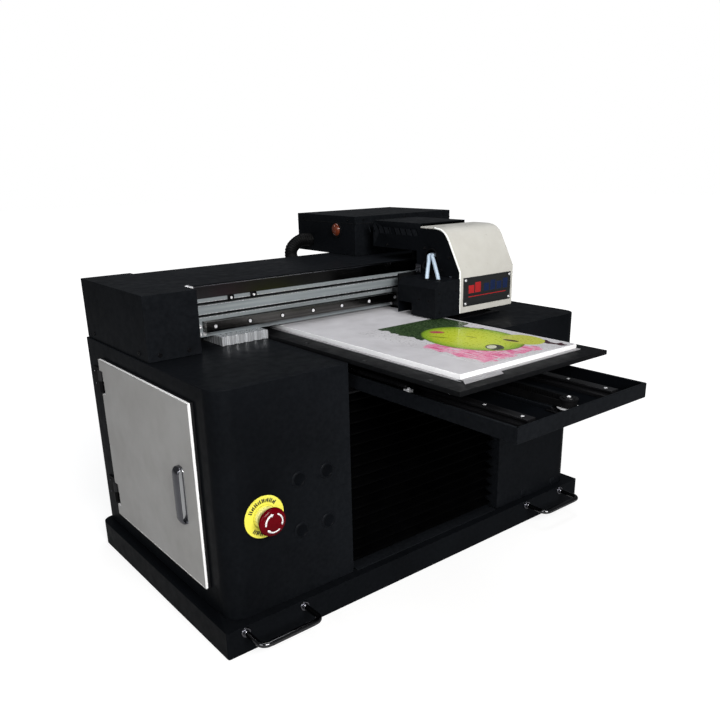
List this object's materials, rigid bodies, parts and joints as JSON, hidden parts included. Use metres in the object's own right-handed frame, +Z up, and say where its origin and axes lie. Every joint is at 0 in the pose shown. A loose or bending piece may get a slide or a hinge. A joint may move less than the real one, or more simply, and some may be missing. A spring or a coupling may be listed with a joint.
{
  "type": "flatbed uv printer",
  "caption": "Desktop flatbed UV printer: gantry beam with a covered print carriage and lamp, lifting table with a sliding print bed, side door and emergency stop.",
  "frame": {"origin": "centre of the base plinth's underside", "axes": "+X to the operator's right, +Y from the operator to the rear, +Z up"},
  "size_m": [0.7757, 0.8249, 0.5338],
  "materials": {
    "black_powder_coat": "fine satin black powder coat",
    "door_paint": "satin light grey paint",
    "cover_paint": "smooth satin cream-white paint",
    "nameplate_grey": "satin dark grey with a faint brushed grain",
    "aluminium": "clear anodised, fine extrusion lines",
    "rail_steel": "ground steel with lengthwise grain",
    "strip_steel": "polished dark steel strip",
    "chrome": "bright polished chrome plate",
    "black_hardware": "semi-gloss black coating",
    "black_rubber": "dull black, soft sheen on the folds",
    "black_plastic": "fine moulded grain",
    "amber_lens": "translucent amber, glossy",
    "yellow_label": "flat bright yellow, slight gloss",
    "red_plastic": "glossy deep red",
    "grey_blue_tube": "smooth flexible tube, soft gloss",
    "board_white": "white sheet with a printed picture",
    "circuit_green": "green circuit board"
  },
  "bodies": {
    "frame": {"base_plinth": "black_powder_coat", "left_cabinet_shell": "black_powder_coat", "right_cabinet_shell": "black_powder_coat", "bay_rear_panel": "black_powder_coat", "power_inlet": "black_plastic", "capping_station": "black_plastic", "door_hinge_lower": "black_hardware", "door_hinge_upper": "black_hardware", "beam_extrusion": "aluminium", "beam_riser_left": "aluminium", "beam_riser_right": "aluminium", "beam_top_cover": "black_powder_coat", "beam_left_end_cover": "black_powder_coat", "x_linear_rail": "rail_steel", "encoder_strip": "strip_steel", "x_belt": "black_rubber", "x_motor": "black_hardware", "cable_chain": "black_plastic", "rear_box_cover": "black_powder_coat", "indicator_lens": "amber_lens", "rear_conduit": "black_rubber", "lift_guide_shaft_left": "rail_steel", "lift_guide_shaft_right": "rail_steel", "front_bellows": "black_rubber", "power_supply": "aluminium", "control_board": "circuit_green", "estop_label": "yellow_label", "estop_collar": "black_hardware", "lift_handle_left": "chrome", "lift_handle_right": "chrome"},
    "lift": {"table_tray": "black_powder_coat", "y_rail_left": "rail_steel", "y_rail_right": "rail_steel", "y_belt": "black_rubber", "y_motor": "black_hardware", "lift_crossbeam": "aluminium"},
    "lift_screw_left": {"lift_screw_left": "rail_steel"},
    "lift_screw_right": {"lift_screw_right": "rail_steel"},
    "x_drive_pulley": {"x_drive_pulley": "aluminium"},
    "x_idler_pulley": {"x_idler_pulley": "aluminium"},
    "y_drive_pulley": {"y_drive_pulley": "aluminium"},
    "y_idler_pulley": {"y_idler_pulley": "aluminium"},
    "door": {"cabinet_door": "door_paint", "door_handle": "chrome"},
    "estop_stem": {"estop_stem": "black_hardware"},
    "estop_head": {"estop_head": "red_plastic"},
    "carriage": {"x_bearing_block": "rail_steel", "carriage_back_plate": "aluminium", "carriage_housing": "black_powder_coat", "carriage_front_cover": "cover_paint", "carriage_nameplate": "nameplate_grey", "uv_lamp_housing": "black_powder_coat", "uv_led_module": "aluminium", "lamp_tube_front": "grey_blue_tube", "lamp_tube_rear": "grey_blue_tube", "print_head": "black_plastic"},
    "platform": {"platform_plate": "black_hardware", "print_board": "board_white", "y_bearing_left": "rail_steel", "y_bearing_right": "rail_steel"}
  },
  "joints": [
    {"name": "carriage_travel", "type": "slide", "parent": "frame", "child": "carriage", "axis": [1, 0, 0], "range_m": [-0.32, 0.06], "deforming": ["cable_chain"]},
    {"name": "x_drive_spin", "type": "hinge", "parent": "frame", "child": "x_drive_pulley", "pos_m": [-0.312, 0.0248, 0.424], "axis": [0, 1, 0], "continuous": true},
    {"name": "x_idler_spin", "type": "hinge", "parent": "frame", "child": "x_idler_pulley", "pos_m": [0.364, 0.0248, 0.424], "axis": [0, 1, 0], "continuous": true},
    {"name": "lift_travel", "type": "slide", "parent": "frame", "child": "lift", "axis": [0, 0, 1], "range_m": [-0.1, 0], "deforming": ["front_bellows"]},
    {"name": "lift_screw_left_spin", "type": "hinge", "parent": "frame", "child": "lift_screw_left", "pos_m": [-0.19, 0.005, 0.18], "axis": [0, 0, 1], "continuous": true},
    {"name": "lift_screw_right_spin", "type": "hinge", "parent": "frame", "child": "lift_screw_right", "pos_m": [0.201, 0.005, 0.18], "axis": [0, 0, 1], "continuous": true},
    {"name": "platform_travel", "type": "slide", "parent": "lift", "child": "platform", "axis": [0, 1, 0], "range_m": [-0.125, 0.32]},
    {"name": "y_drive_spin", "type": "hinge", "parent": "lift", "child": "y_drive_pulley", "pos_m": [-0.0077, 0.3023, 0.3397], "axis": [0, 0, 1], "continuous": true},
    {"name": "y_idler_spin", "type": "hinge", "parent": "lift", "child": "y_idler_pulley", "pos_m": [-0.0077, -0.4677, 0.3397], "axis": [0, 0, 1], "continuous": true},
    {"name": "door_swing", "type": "hinge", "parent": "frame", "child": "door", "pos_m": [-0.3718, 0.1585, 0.20975], "axis": [0, 0, -1], "range_deg": [0, 110]},
    {"name": "estop_press", "type": "slide", "parent": "frame", "child": "estop_stem", "axis": [0, 1, 0], "range_m": [0, 0.005]},
    {"name": "estop_twist", "type": "hinge", "parent": "estop_stem", "child": "estop_head", "pos_m": [-0.306, -0.23, 0.184], "axis": [0, -1, 0], "range_deg": [0, 45], "stiffness_Nm_per_rad": 0.05}
  ],
  "couplings": [
    {"joint": "x_drive_spin", "follows": "carriage_travel", "rad_per_m": 109.89},
    {"joint": "x_idler_spin", "follows": "carriage_travel", "rad_per_m": 109.89},
    {"joint": "lift_screw_left_spin", "follows": "lift_travel", "rad_per_m": -628.32},
    {"joint": "lift_screw_right_spin", "follows": "lift_travel", "rad_per_m": -628.32},
    {"joint": "y_drive_spin", "follows": "platform_travel", "rad_per_m": 100},
    {"joint": "y_idler_spin", "follows": "platform_travel", "rad_per_m": 100}
  ]
}
